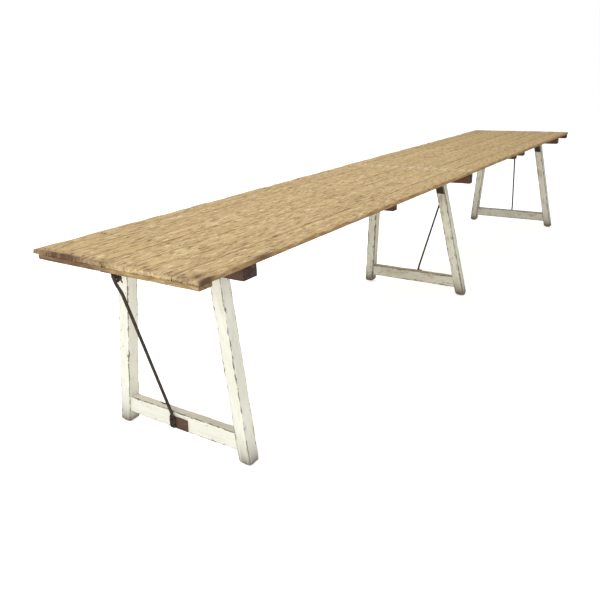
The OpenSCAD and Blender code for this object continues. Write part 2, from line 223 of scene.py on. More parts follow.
# %% [markdown]
# ## Helpers for finished pieces
# A finished piece sits at the origin with its place in its mesh, wears one material, stands for
# the solids it was made from, and rides on their body. One helper does all of that. Two more read
# a solid's points, and find its nail heads: each head's flat rim is a cluster of points level
# with the top, and the middle of the cluster's box is the middle of the nail.

# %% Finishing a piece
RIM_DEPTH = 0.0003
HEAD_REACH = 0.008


def finish_piece(name, mesh, material, nodes, smooth=True):
    mesh.materials.clear()
    mesh.materials.append(material)
    mesh.polygons.foreach_set("use_smooth", [smooth] * len(mesh.polygons))
    mesh.update()
    piece = bpy.data.objects.new(name, mesh)
    bpy.context.collection.objects.link(piece)
    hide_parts(*nodes)
    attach(piece, BODY_OF[nodes[0]])
    return piece


def mesh_points(mesh):
    flat = np.zeros(len(mesh.vertices) * 3)
    mesh.vertices.foreach_get("co", flat)
    return flat.reshape(-1, 3)


def node_points(node):
    return mesh_points(frame["nodes"][node].data)


def nail_places(node):
    """Centres of the nail heads of a node, from the points of its flat upper rims."""
    points = node_points(node)
    rims = points[points[:, 2] > TOP_Z - RIM_DEPTH]
    places = []
    for point in rims:
        if not any(np.abs(point[:2] - p[:2]).max() < HEAD_REACH for p in places):
            places.append(point)
    centres = []
    for place in places:
        near = np.abs(rims[:, :2] - place[:2]).max(axis=1) < HEAD_REACH
        low, high = rims[near].min(axis=0), rims[near].max(axis=0)
        centres.append((low + high) / 2)
    return np.array(centres)


NAILS = {node: nail_places(node) for node in ("near_nails", "far_nails")}
ALL_NAILS = np.vstack(list(NAILS.values()))
print("nail heads found:", {node: len(at) for node, at in NAILS.items()})

# %% [markdown]
# ## Small helpers for node trees
# A material is a tree of nodes, and writing out each node and link by hand is long. These helpers
# add a node, do one sum, make a smooth ramp, mix two colours, read a stretched noise or start a
# group, so each material below reads as a short recipe.

# %% Node helpers


def set_inputs(node, values):
    for key, value in values.items():
        node.inputs[key].default_value = value


def add_node(tree, kind, **settings):
    node = tree.nodes.new(kind)
    for key, value in settings.items():
        setattr(node, key, value)
    return node


def math_node(tree, operation, a, b=None, clamp=False):
    node = add_node(tree, "ShaderNodeMath", operation=operation, use_clamp=clamp)
    for socket, value in zip(node.inputs, (a, b)):
        if value is None:
            continue
        if isinstance(value, (int, float)):
            socket.default_value = value
        else:
            tree.links.new(value, socket)
    return node.outputs[0]


def steps(tree, value, low, high, to_low=0.0, to_high=1.0):
    """Smooth ramp of value from low to high."""
    node = add_node(tree, "ShaderNodeMapRange", interpolation_type="SMOOTHSTEP")
    set_inputs(node, {1: low, 2: high, 3: to_low, 4: to_high})
    tree.links.new(value, node.inputs[0])
    return node.outputs[0]


def mix_colour(tree, factor, a, b, blend="MIX"):
    node = add_node(tree, "ShaderNodeMix", data_type="RGBA", blend_type=blend)
    for socket, value in ((node.inputs[0], factor), (node.inputs[6], a), (node.inputs[7], b)):
        if isinstance(value, (int, float)):
            socket.default_value = value
        elif isinstance(value, tuple):
            socket.default_value = (*value, 1)
        else:
            tree.links.new(value, socket)
    return node.outputs[2]


def noise_at(tree, vector, stretch, detail=3.0, rough=0.55, distortion=0.0):
    """Noise of unit scale on a vector that is stretched by three factors."""
    scaled = add_node(tree, "ShaderNodeVectorMath", operation="MULTIPLY")
    scaled.inputs[1].default_value = stretch
    tree.links.new(vector, scaled.inputs[0])
    noise = add_node(tree, "ShaderNodeTexNoise")
    set_inputs(noise, {"Scale": 1.0, "Detail": detail, "Roughness": rough, "Distortion": distortion})
    tree.links.new(scaled.outputs[0], noise.inputs["Vector"])
    return noise.outputs[0]


def group_with(name, inputs, outputs):
    tree = bpy.data.node_groups.new(name, "ShaderNodeTree")
    for label, kind, value in inputs:
        socket = tree.interface.new_socket(label, in_out="INPUT", socket_type=kind)
        if value is not None:
            socket.default_value = value
    for label, kind in outputs:
        tree.interface.new_socket(label, in_out="OUTPUT", socket_type=kind)
    ins = tree.nodes.new("NodeGroupInput")
    outs = tree.nodes.new("NodeGroupOutput")
    return tree, ins, outs


print("node helpers ready")

# %% [markdown]
# ## Grain, the pattern under everything wooden
# Weathered softwood shows long soft bands, short dark pores between raised fibres, pale scuffs
# and broad stains. Each is a noise squeezed across the grain. They share one node group, so the
# boards, the battens and the bare patches of the painted legs all have the same wood in them.
# Its coordinates come from an attribute that runs along each piece of timber, with its own
# start for each piece, so no two boards match and a leaning leg has grain that leans with it.

# %% Grain group


def make_grain_group():
    tree, ins, outs = group_with(
        "timber_grain",
        [("Grain Place", "NodeSocketVector", None), ("Band Contrast", "NodeSocketFloat", 1.0)],
        [(label, "NodeSocketFloat") for label in ("Bands", "Pores", "Fibres", "Scuffs", "Stains")],
    )
    place = ins.outputs["Grain Place"]
    broad = noise_at(tree, place, (1.6, 42.0, 30.0), 2.0, 0.5, 0.6)
    fine = noise_at(tree, place, (7.0, 190.0, 120.0), 3.0, 0.6, 0.2)
    bands = math_node(tree, "ADD", math_node(tree, "MULTIPLY", broad, 0.65),
                      math_node(tree, "MULTIPLY", fine, 0.35))
    centred = math_node(tree, "SUBTRACT", bands, 0.5)
    contrast = math_node(tree, "MULTIPLY", centred, ins.outputs["Band Contrast"])
    tree.links.new(math_node(tree, "ADD", contrast, 0.5, clamp=True), outs.inputs["Bands"])
    pores = noise_at(tree, place, (20.0, 105.0, 105.0), 5.0, 0.70)
    tree.links.new(steps(tree, pores, 0.50, 0.64), outs.inputs["Pores"])
    fibres = noise_at(tree, place, (10.0, 520.0, 520.0), 2.0, 0.6)
    tree.links.new(fibres, outs.inputs["Fibres"])
    scuffs = noise_at(tree, place, (24.0, 88.0, 88.0), 5.0, 0.72)
    tree.links.new(steps(tree, scuffs, 0.52, 0.67), outs.inputs["Scuffs"])
    stains = noise_at(tree, place, (3.0, 9.0, 9.0), 3.0, 0.6, 0.3)
    tree.links.new(steps(tree, stains, 0.42, 0.68), outs.inputs["Stains"])
    return tree


GRAIN = make_grain_group()
print("grain group with", len(GRAIN.nodes), "nodes")

# %% [markdown]
# ## Helpers for materials
# A material of the table starts from one plain shader, places the shared groups with values of
# its own, reads any masks that its mesh carries, and ends in a bump. Four short helpers do that.

# %% Material helpers


def place_group(tree, group, links=None, **values):
    node = add_node(tree, "ShaderNodeGroup", node_tree=group)
    for key, value in values.items():
        node.inputs[key.replace("_", " ")].default_value = value
    for key, value in (links or {}).items():
        tree.links.new(value, node.inputs[key])
    return node


def attribute(tree, name, vector=False):
    node = add_node(tree, "ShaderNodeAttribute", attribute_name=name)
    return node.outputs["Vector" if vector else "Fac"]


def new_material(name, roughness=0.8, specular=0.3):
    material = bpy.data.materials.new(name)
    material.use_nodes = True
    tree = material.node_tree
    shader = tree.nodes["Principled BSDF"]
    shader.inputs["Roughness"].default_value = roughness
    shader.inputs["Specular IOR Level"].default_value = specular
    return material, tree, shader


def bump(tree, shader, height, distance, strength=1.0):
    node = add_node(tree, "ShaderNodeBump")
    set_inputs(node, {"Strength": strength, "Distance": distance})
    tree.links.new(height, node.inputs["Height"])
    tree.links.new(node.outputs["Normal"], shader.inputs["Normal"])


print("material helpers ready")

# %% [markdown]
# ## Bare boards
# The top has never been varnished: straw and tan bands, dark pores, pale scuffs, broad
# orange-brown stains, brown dirt round the nails, dirt and painted shade in the seams, a warm
# worn outer edge, and pale worn ends at the butt joint. The meshes bring masks along as
# attributes: a seam mask (dirt near the long edges, painted shade down the sides of the gaps),
# `rim` on the outer edge, `stain` at nails and worn corners, `pale` at worn ends, `rough` for how
# strongly the scuffs and pores show, and `tone` for a board's own lightness. The near end batten
# wears the same recipe in darker colours.

# %% Board material
STRAW = (0.64, 0.47, 0.24)
TAN = (0.47, 0.325, 0.145)
PALE = (0.86, 0.72, 0.47)
# Colour of the seams: brown dirt, and painted shade inside the gaps between the boards.
SEAM_DIRT_AND_SHADE = (0.17, 0.105, 0.045)
PORE_BROWN = (0.23, 0.145, 0.060)
STAIN_BROWN = (0.13, 0.07, 0.04)
WARM_EDGE = (0.30, 0.165, 0.065)


def make_board_material(name, straw, tan, pale, tint, tint_share):
    material, tree, shader = new_material(name, 0.82, 0.22)
    grain = place_group(tree, GRAIN, {"Grain Place": attribute(tree, "grain", True)}, Band_Contrast=1.5)
    bands = grain.outputs["Bands"]
    colour = mix_colour(tree, bands, tan, straw)
    colour = mix_colour(tree, steps(tree, bands, 0.62, 0.95), colour, pale)
    stains = math_node(tree, "MULTIPLY", grain.outputs["Stains"], tint_share)
    colour = mix_colour(tree, stains, colour, tint)
    tone = attribute(tree, "tone")
    colour = mix_colour(tree, 1.0, colour, tone, "MULTIPLY")
    rough_share = steps(tree, attribute(tree, "rough"), 0, 1, 0.70, 1.0)
    scuffs = math_node(tree, "MULTIPLY", grain.outputs["Scuffs"], 0.78)
    colour = mix_colour(tree, math_node(tree, "MULTIPLY", scuffs, rough_share), colour, pale)
    pores = math_node(tree, "MULTIPLY", grain.outputs["Pores"], 0.80)
    colour = mix_colour(tree, math_node(tree, "MULTIPLY", pores, rough_share), colour, PORE_BROWN)
    colour = mix_colour(tree, math_node(tree, "MULTIPLY", attribute(tree, "pale"), 0.55), colour, pale)
    mottled = steps(tree, grain.outputs["Pores"], 0.0, 1.0, 0.75, 1.0)
    rim = math_node(tree, "MULTIPLY", attribute(tree, "rim"), mottled)
    colour = mix_colour(tree, rim, colour, WARM_EDGE)
    # Seams: dirt near the long edges and painted shade down the sides of the gaps, broken up by the grain.
    broken = steps(tree, bands, 0.2, 0.8, 0.75, 0.35)
    dirt_and_shade = math_node(tree, "MULTIPLY", attribute(tree, "seam_dirt_and_shade"), broken)
    colour = mix_colour(tree, dirt_and_shade, colour, SEAM_DIRT_AND_SHADE)
    stain = math_node(tree, "MULTIPLY", attribute(tree, "stain"), 0.86)
    colour = mix_colour(tree, stain, colour, STAIN_BROWN)
    tree.links.new(colour, shader.inputs["Base Color"])
    tree.links.new(steps(tree, bands, 0.1, 0.9, 0.72, 0.92), shader.inputs["Roughness"])
    height = math_node(tree, "SUBTRACT", grain.outputs["Fibres"], grain.outputs["Pores"])
    bump(tree, shader, height, 0.0011, 0.9)
    return material


BOARDS = make_board_material("weathered_boards", STRAW, TAN, PALE, (0.52, 0.34, 0.15), 0.35)
UNDER_BATTEN = make_board_material("light_batten_wood", (0.52, 0.38, 0.17), (0.38, 0.26, 0.11),
                                   (0.66, 0.52, 0.30), (0.24, 0.15, 0.07), 0.6)
print("board materials:", BOARDS.name, UNDER_BATTEN.name)

# %% [markdown]
# ## Painted timber
# The legs wear old cream paint: chalky, thin at the edges, with slits and flakes where
# brown-pink wood or dark old paint shows, and grime towards the feet. The battens wear a dull
# red-brown. Both are one recipe with different colours, so the wear is a node group of its own:
# it turns an edge mask and three noises into a mask of bare wood and a mask of dark chips, and
# adds a fourth, very fine noise for the brush marks.

# %% Worn paint group and material


def make_wear_group():
    tree, ins, outs = group_with(
        "paint_wear",
        [("Grain Place", "NodeSocketVector", None), ("Edge", "NodeSocketFloat", 0.0),
         ("Bare", "NodeSocketFloat", 0.3), ("Chipped", "NodeSocketFloat", 0.3)],
        [(label, "NodeSocketFloat") for label in ("Bare Wood", "Dark Chips", "Brushing")],
    )
    place = ins.outputs["Grain Place"]
    patches = noise_at(tree, place, (9.0, 30.0, 30.0), 4.0, 0.65, 0.3)
    streaks = noise_at(tree, place, (18.0, 110.0, 110.0), 3.0, 0.6)
    both = math_node(tree, "ADD", math_node(tree, "MULTIPLY", patches, 0.7),
                     math_node(tree, "MULTIPLY", streaks, 0.3))
    edged = math_node(tree, "ADD", both, math_node(tree, "MULTIPLY", ins.outputs["Edge"], 0.16))
    bare = math_node(tree, "ADD", edged, math_node(tree, "MULTIPLY", ins.outputs["Bare"], 0.2))
    tree.links.new(steps(tree, bare, 0.62, 0.72), outs.inputs["Bare Wood"])
    flecks = noise_at(tree, place, (34.0, 130.0, 130.0), 4.0, 0.65, 0.4)
    flecked = math_node(tree, "ADD", flecks, math_node(tree, "MULTIPLY", ins.outputs["Edge"], 0.34))
    dark = math_node(tree, "ADD", flecked, math_node(tree, "MULTIPLY", ins.outputs["Chipped"], 0.2))
    tree.links.new(steps(tree, dark, 0.73, 0.80), outs.inputs["Dark Chips"])
    tree.links.new(noise_at(tree, place, (6.0, 420.0, 420.0), 2.0, 0.5), outs.inputs["Brushing"])
    return tree


WEAR = make_wear_group()


def make_paint(name, paint, second, bare_wood, chip, bare, chipped, grime, roughness=0.6):
    material, tree, shader = new_material(name, roughness, 0.35)
    place = attribute(tree, "grain", True)
    grain = place_group(tree, GRAIN, {"Grain Place": place}, Band_Contrast=1.6)
    wear = place_group(tree, WEAR, {"Grain Place": place, "Edge": attribute(tree, "edge")},
                       Bare=bare, Chipped=chipped)
    colour = mix_colour(tree, grain.outputs["Stains"], paint, second)
    streak = math_node(tree, "MULTIPLY", grain.outputs["Pores"], 0.10)
    colour = mix_colour(tree, streak, colour, chip)
    wood = mix_colour(tree, grain.outputs["Bands"], tuple(0.72 * c for c in bare_wood), bare_wood)
    colour = mix_colour(tree, math_node(tree, "MULTIPLY", wear.outputs["Bare Wood"], 0.85), colour, wood)
    colour = mix_colour(tree, math_node(tree, "MULTIPLY", wear.outputs["Dark Chips"], 0.9), colour, chip)
    low = math_node(tree, "MULTIPLY", attribute(tree, "foot"), grime)
    low = math_node(tree, "MULTIPLY", low, steps(tree, wear.outputs["Brushing"], 0.15, 0.5))
    colour = mix_colour(tree, low, colour, (0.16, 0.13, 0.09))
    tree.links.new(colour, shader.inputs["Base Color"])
    rough = math_node(tree, "MULTIPLY", wear.outputs["Bare Wood"], 0.25)
    tree.links.new(math_node(tree, "ADD", rough, roughness), shader.inputs["Roughness"])
    film = math_node(tree, "SUBTRACT", math_node(tree, "MULTIPLY", wear.outputs["Brushing"], 0.35),
                     math_node(tree, "MAXIMUM", wear.outputs["Bare Wood"], wear.outputs["Dark Chips"]))
    bump(tree, shader, film, 0.0007, 0.8)
    return material


CREAM = (0.87, 0.865, 0.75)
CREAM_SHADE = (0.76, 0.755, 0.64)
PINK_WOOD = (0.56, 0.45, 0.34)
DARK_CHIP = (0.10, 0.085, 0.06)
PAINTS = {
    "near": make_paint("cream_paint_near", CREAM, CREAM_SHADE, (0.60, 0.55, 0.44),
                       DARK_CHIP, 0.10, 0.22, 0.8),
    "middle": make_paint("cream_paint_middle", (0.74, 0.73, 0.60), (0.62, 0.61, 0.48), PINK_WOOD,
                         DARK_CHIP, 0.38, 0.52, 1.0),
    "far": make_paint("cream_paint_far", (0.70, 0.69, 0.58), (0.58, 0.57, 0.46), PINK_WOOD,
                      DARK_CHIP, 0.34, 0.45, 1.0),
}
RED_BROWN = make_paint("red_brown_paint", (0.105, 0.044, 0.024), (0.075, 0.030, 0.017), (0.15, 0.07, 0.038),
                       (0.030, 0.015, 0.010), 0.25, 0.25, 0.0, 0.5)
print("paints:", sorted(PAINTS), RED_BROWN.name)

# %% [markdown]
# ## Old iron
# The stays, hinges, staples and nails are forged iron: near black, browned by rust that gathers
# in patches, with paler rubbed spots. The rust mask is one group on Object coordinates, and the
# iron loses most of its metal sheen where it is rusted.

# %% Iron materials


def make_rust_group():
    tree, ins, outs = group_with(
        "rust_patches",
        [("Place", "NodeSocketVector", None), ("Rust", "NodeSocketFloat", 0.5)],
        [("Rusted", "NodeSocketFloat"), ("Pits", "NodeSocketFloat"), ("Rubbed", "NodeSocketFloat")],
    )
    place = ins.outputs["Place"]
    patches = noise_at(tree, place, (55.0, 55.0, 55.0), 5.0, 0.7)
    shifted = math_node(tree, "ADD", patches, math_node(tree, "MULTIPLY", ins.outputs["Rust"], 0.3))
    tree.links.new(steps(tree, shifted, 0.52, 0.72), outs.inputs["Rusted"])
    tree.links.new(noise_at(tree, place, (420.0, 420.0, 420.0), 3.0, 0.7), outs.inputs["Pits"])
    rubbed = noise_at(tree, place, (120.0, 120.0, 90.0), 2.0, 0.5)
    tree.links.new(steps(tree, rubbed, 0.60, 0.75), outs.inputs["Rubbed"])
    return tree


RUST = make_rust_group()


def make_iron(name, iron, rust, rubbed, rusting):
    material, tree, shader = new_material(name, 0.5, 0.5)
    place = add_node(tree, "ShaderNodeTexCoord").outputs["Object"]
    spots = place_group(tree, RUST, {"Place": place}, Rust=rusting)
    colour = mix_colour(tree, spots.outputs["Rusted"], iron, rust)
    rub = math_node(tree, "MULTIPLY", spots.outputs["Rubbed"], 0.5)
    colour = mix_colour(tree, rub, colour, rubbed)
    tree.links.new(colour, shader.inputs["Base Color"])
    tree.links.new(steps(tree, spots.outputs["Rusted"], 0, 1, 0.45, 0.85), shader.inputs["Roughness"])
    tree.links.new(steps(tree, spots.outputs["Rusted"], 0, 1, 0.75, 0.1), shader.inputs["Metallic"])
    bump(tree, shader, spots.outputs["Pits"], 0.0005, 0.6)
    return material


BLACK_IRON = make_iron("black_iron", (0.030, 0.027, 0.020), (0.050, 0.032, 0.020),
                       (0.10, 0.085, 0.065), 0.35)
BROWN_IRON = make_iron("brown_iron", (0.070, 0.048, 0.034), (0.115, 0.058, 0.034),
                       (0.22, 0.17, 0.13), 0.6)
print("irons:", BLACK_IRON.name, BROWN_IRON.name)

# %% [markdown]
# ## A worn length of timber
# Planks, battens, legs and stretchers are all one thing: a long box whose edges, ends and faces
# have worn. The mesh is a tube of cross-sections with a grid over each end. Points that lie
# close together at the edges are pulled from the square onto an arc, more here and less there,
# so no arris is straight. Everything moves inwards only, which keeps each piece inside its solid.
# A placing function then carries the box to its leaning or lying place.

# %% Timber mesh


def spaced(length, step, ends):
    """Positions from 0 to length with the close steps in ends near both of its limits."""
    inner = np.linspace(ends[-1], length - ends[-1], max(2, round((length - 2 * ends[-1]) / step) + 1))
    return np.concatenate([ends[:-1], inner, length - np.array(ends[:-1])[::-1]])


def round_off(a, b, radius):
    """Pulls points near a corner onto an arc: a and b are distances inside two faces."""
    near = (a < radius) & (b < radius)
    p, q = np.where(near, radius - a, 0.0), np.where(near, radius - b, 0.0)
    length = np.hypot(p, q)
    shrink = np.where(length > 1e-9, np.maximum(p, q) / np.maximum(length, 1e-9), 1.0)
    return np.where(near, radius - p * shrink, a), np.where(near, radius - q * shrink, b)


def timber_grid(length, width, height, along_step, across_step):
    """Grid points (along, across, up) of a box surface, and its quads."""
    small = min(0.004, height / 5)
    s = spaced(length, along_step, [0, 0.0012, 0.003, 0.006, 0.010, 0.016])
    c = spaced(width, across_step, [0, small * 0.3, small * 0.75, small * 1.4])
    h = spaced(height, max(height / 6, 0.006), [0, small * 0.3, small * 0.75, small * 1.4])
    m, n = len(c), len(h)
    loop = ([(i, n - 1) for i in range(m)] + [(m - 1, j) for j in range(n - 2, -1, -1)]
            + [(i, 0) for i in range(m - 2, -1, -1)] + [(0, j) for j in range(1, n - 1)])
    points, quads = [], []
    for along in s:
        points += [(along, c[i], h[j]) for i, j in loop]
    around = len(loop)
    for k in range(len(s) - 1):
        for e in range(around):
            f = (e + 1) % around
            quads.append((k * around + e, k * around + f, (k + 1) * around + f, (k + 1) * around + e))
    at_loop = {key: index for index, key in enumerate(loop)}
    for side, along in ((0, 0.0), (1, length)):
        ring = (len(s) - 1) * around if side else 0
        index = {key: ring + value for key, value in at_loop.items()}
        for i in range(1, m - 1):
            for j in range(1, n - 1):
                index[(i, j)] = len(points)
                points.append((along, c[i], h[j]))
        for i in range(m - 1):
            for j in range(n - 1):
                quad = (index[(i, j)], index[(i + 1, j)], index[(i + 1, j + 1)], index[(i, j + 1)])
                quads.append(quad if side else quad[::-1])
    return np.array(points), quads


def worn_timber(name, size, steps_mm, place, seed, wear, masks):
    """One worn piece. wear: edge and end radii, fibre depth, sag and end raggedness, in metres."""
    length, width, height = size
    points, quads = timber_grid(length, width, height, steps_mm[0] / 1000, steps_mm[1] / 1000)
    along, across, up = points.T.copy()
    left, right = across.copy(), width - across
    under, over = up.copy(), height - up
    start, end = along.copy(), length - along
    edge = np.exp(-np.minimum(left, right) / 0.004) * np.exp(-np.minimum(under, over) / 0.004)
    edge = np.maximum(edge, np.exp(-np.minimum(start, end) / 0.005) * 0.9)
    flat = np.minimum(left, right) > 0.002
    fibre = wear["fibre"] * uneven(across / 0.0035 + seed, along / 0.16, seed)
    sag = wear.get("sag", 0.0) * uneven(across / 0.03, along / 0.4, seed + 1)
    over = over + np.where((over < 1e-6) & flat, fibre, 0.0) + np.where(over < 1e-6, sag, 0.0)
    side_fibre = wear["fibre"] * uneven(up / 0.0035 + seed, along / 0.14, seed + 2)
    left = left + np.where(left < 1e-6, side_fibre, 0.0)
    right = right + np.where(right < 1e-6, side_fibre, 0.0)
    edges = (("left", "over"), ("right", "over"), ("left", "under"), ("right", "under"))
    near = {"left": left, "right": right, "over": over, "under": under}
    for k, (a, b) in enumerate(edges):
        radius = wear["edge"][k] * (0.35 + 1.5 * uneven(along / 0.045, 7.7 * k, seed + 3 + k) ** 2)
        near[a], near[b] = round_off(near[a], near[b], radius)
    for k, (side, radius) in enumerate(((start, wear["start"]), (end, wear["end"]))):
        ragged = wear["ragged"][k] * uneven(across / 0.012, up / 0.006, seed + 9 + k) ** 1.6
        ragged = ragged + wear["ragged"][k] * 0.6 * uneven(across / 0.035, up / 0.2, seed + 11 + k)
        side += ragged * np.clip(1 - side / 0.03, 0, 1)
        local = radius * (0.6 + 0.8 * uneven(across / 0.02, 3.1 * k, seed + 13 + k))
        for key in ("over", "under", "left", "right"):
            share = 1.0 if key == "over" else wear["round_ends"]
            side[:], near[key] = round_off(side, near[key], local * share)
    across = np.where(points[:, 1] < width / 2, near["left"], width - near["right"])
    up = np.where(points[:, 2] < height / 2, near["under"], height - near["over"])
    along = np.where(points[:, 0] < length / 2, start, length - end)
    mesh = bpy.data.meshes.new(name)
    mesh.from_pydata(np.column_stack(place(along, across, up)).tolist(), [], quads)
    mark_points(mesh, points, seed, edge, masks)
    return mesh


def mark_points(mesh, points, seed, edge, masks):
    """Stores the grain place and each mask on a mesh; a mask is made from box and placed points."""
    shift = (seed * 3.71 % 17, seed * 1.93 % 11, seed * 2.57 % 13)
    grain = np.column_stack([points[:, axis] + shift[axis] for axis in range(3)])
    mesh.attributes.new("grain", "FLOAT_VECTOR", "POINT").data.foreach_set("vector", grain.ravel())
    world = mesh_points(mesh)
    values = {"edge": edge, "tone": np.full(len(points), masks.pop("tone", 1.0))}
    values.update({key: make(points, world) for key, make in masks.items()})
    for key, value in values.items():
        mesh.attributes.new(key, "FLOAT", "POINT").data.foreach_set("value", np.clip(value, 0, 2))


print("timber helper ready")

# %% [markdown]
# ## The planks
# Each plank is one length of timber, a little lower or higher than its neighbour, with its own
# tone. The near ends are the most battered: they are ragged and their upper edge has worn down.
# The outer edges of the first and the last plank are rounded over and dented by chairs and knees.
# The worst stains are set one by one, because damage like that follows no rule.

# %% Planks
PLANK_TONES = {
    "near": (0.98, 0.97, 1.04, 1.00, 1.05, 0.97, 1.01, 0.98),
    "far": (0.97, 1.00, 0.95, 1.01, 0.96, 1.02, 0.96, 0.99),
}
JOINT_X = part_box("near_plank_1")[1].x
TOP_EDGES = (cad_low.y, cad_high.y)
OUTER_RADIUS = 0.0115
SEAM_RADIUS = 0.0016
NAIL_HALO = (0.013, 0.0045)
# Each place: distance in from the near end and from the first long edge, reach along and across,
# and depth of the stain.
WORN_PLACES = [
    (0.036, 0.036, 0.036, 0.020, 1.0),
    (0.010, 0.070, 0.014, 0.030, 0.8),
    (0.014, 0.215, 0.010, 0.016, 0.9),
    (0.30, 0.004, 0.05, 0.010, 1.0),
    (0.54, 0.41, 0.012, 0.008, 0.9),
    (0.54, 0.37, 0.012, 0.008, 0.8),
    (0.46, 0.20, 0.03, 0.006, 0.7),
    (0.004, 0.60, 0.014, 0.15, 1.3),
    (0.004, 0.42, 0.010, 0.05, 0.8),
    (0.03, 0.0, 0.036, 0.010, 1.5),
]


def nail_stain(points, world):
    """Brown halos round the nails, drawn out along the grain, and the darkest worn places."""
    stain = np.zeros(len(world))
    on_top = world[:, 2] > TOP_Z - 0.006
    for x, y, z in ALL_NAILS:
        away = np.hypot((world[:, 0] - x) / NAIL_HALO[0], (world[:, 1] - y) / NAIL_HALO[1])
        stain = np.maximum(stain, np.where(on_top, np.exp(-away ** 2), 0))
    along, across = world[:, 0] - cad_low.x, world[:, 1] - cad_low.y
    for x, y, reach_x, reach_y, depth in WORN_PLACES:
        away = np.hypot((along - x) / reach_x, (across - y) / reach_y)
        stain = np.maximum(stain, depth * np.exp(-away ** 2))
    return stain * (0.7 + 0.5 * uneven(world[:, 0] / 0.012, world[:, 1] / 0.008, 77))


def inside_edges(world):
    """Distance of each point in from the nearer long edge of the top."""
    return np.minimum(world[:, 1] - TOP_EDGES[0], TOP_EDGES[1] - world[:, 1])


def outer_rim(points, world):
    """The warm worn band along the two long edges of the top."""
    patchy = 0.5 + 0.6 * uneven(world[:, 0] / 0.05, world[:, 2] / 0.006, 5)
    return np.exp(-np.maximum(inside_edges(world) - 0.001, 0) / 0.0030) * patchy


def rough_run(points, world):
    """Scuffs and pores show fully at the near end and fade towards the far end."""
    return np.clip((1.9 - world[:, 0]) / 3.4, 0, 1)


def plank_mesh(run, number):
    node = f"{run}_plank_{number}"
    low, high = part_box(node)
    size = high - low
    seed = number * 11 + (0 if run == "near" else 101)
    drop = 0.0008 * ((number * 37 + seed) % 5) / 4

    def place(along, across, up):
        return low.x + along, low.y + across, low.z + up * (1 - drop / size.z)

    # The seam mask: dirt on the top near the long edges, and painted shade that darkens the sides of each gap more
    # the deeper they lie below the top; on the outer edge only a little of that shade.
    def seam_dirt_and_shade(points, world):
        in_from = np.minimum(points[:, 1], size.y - points[:, 1])
        at_rim = (inside_edges(world) < 0.02) & (in_from < 0.02)
        dirt_and_shade = np.exp(-in_from / 0.0022) * 1.2 * uneven(points[:, 0] / 0.07, number, seed)
        depth_shade = np.clip((size.z - 0.004 - points[:, 2]) / 0.006, 0, 1)
        between = np.maximum(dirt_and_shade, depth_shade * (in_from < 0.0001))
        return np.where(at_rim, depth_shade * 0.15, between)

    def pale_ends(points, world):
        joint = 1.3 * np.exp(-np.abs(world[:, 0] - JOINT_X) / 0.018)
        free = np.exp(-np.minimum(world[:, 0] - cad_low.x, cad_high.x - world[:, 0]) / 0.02)
        return joint + 0.7 * free * uneven(points[:, 1] / 0.02, points[:, 2] / 0.01, seed) ** 2

    first = OUTER_RADIUS if number == 1 else SEAM_RADIUS
    last = OUTER_RADIUS if number == 8 else SEAM_RADIUS
    wear = {
        "edge": (first, last, 0.0015, 0.0015),
        "fibre": 0.0007,
        "sag": 0.0009,
        "start": 0.0055 if run == "near" else 0.0015,
        "end": 0.0015 if run == "near" else 0.005,
        "ragged": (0.005, 0.0006) if run == "near" else (0.0006, 0.003),
        "round_ends": 0.10,
    }
    masks = {"tone": PLANK_TONES[run][number - 1], "seam_dirt_and_shade": seam_dirt_and_shade, "stain": nail_stain,
             "rim": outer_rim, "pale": pale_ends, "rough": rough_run}
    return worn_timber(node + "_board", size, (14, 5), place, seed, wear, masks)


for run in ("near", "far"):
    for number in range(1, 9):
        node = f"{run}_plank_{number}"
        finish_piece(node + "_board", plank_mesh(run, number), BOARDS, [node])

# %% [markdown]
# ## The battens
# Cross battens lie under the planks. Their lower corners are nicked at the ends and worn round.
# The near end batten is bare wood like the top, with a dark stain over its far half; the others
# keep old red-brown paint. They are the same worn timber as the planks, laid the other way.

# %% Battens
BATTENS = ("near_end_batten", "near_hinge_batten", "near_middle_batten", "joint_hinge_batten",
           "stay_batten", "far_middle_batten", "far_hinge_batten", "far_end_batten")
SAWN_CORNER = 0.003
HINGE_BATTEN_HEIGHT = 0.053


def batten_mesh(node, seed):
    low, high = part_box(node)
    size = high - low
    corner = SAWN_CORNER
    rise = corner * size.z / HINGE_BATTEN_HEIGHT

    def place(along, across, up):
        end = np.minimum(along, size.y - along)
        floor = np.clip(1 - end / corner, 0, 1) * rise
        lifted = floor + up * (size.z - floor) / size.z
        return high.x - across, low.y + along, low.z + lifted

    wear = {"edge": (0.002, 0.002, 0.0045, 0.0045), "fibre": 0.0006, "start": 0.003, "end": 0.003,
            "ragged": (0.0015, 0.0015), "round_ends": 1.0}

    def old_stain(points, world):
        beyond = np.clip((world[:, 1] + 0.02) / 0.10, 0, 1)
        near_face = np.clip((cad_low.x + 0.02 - world[:, 0]) / 0.01, 0, 1)
        first_end = np.clip(1 - points[:, 0] / 0.003, 0, 1)
        blotches = 0.5 + 0.7 * uneven(world[:, 1] / 0.025, world[:, 2] / 0.006, seed)
        return np.maximum(beyond * near_face, first_end) * blotches

    masks = {
        "seam_dirt_and_shade": lambda points, world: 0.6 * uneven(world[:, 1] / 0.03, world[:, 2] / 0.008, seed + 4) ** 2,
        "stain": old_stain,
        "rough": lambda points, world: np.ones(len(points)),
        "foot": lambda points, world: np.zeros(len(points)),
    }
    return worn_timber(node + "_timber", (size.y, size.x, size.z), (16, 6), place, seed, wear, masks)


for count, node in enumerate(BATTENS):
    paint = UNDER_BATTEN if node == "near_end_batten" else RED_BROWN
    finish_piece(node + "_timber", batten_mesh(node, 211 + 13 * count), paint, [node])
print("battens:", len(BATTENS))

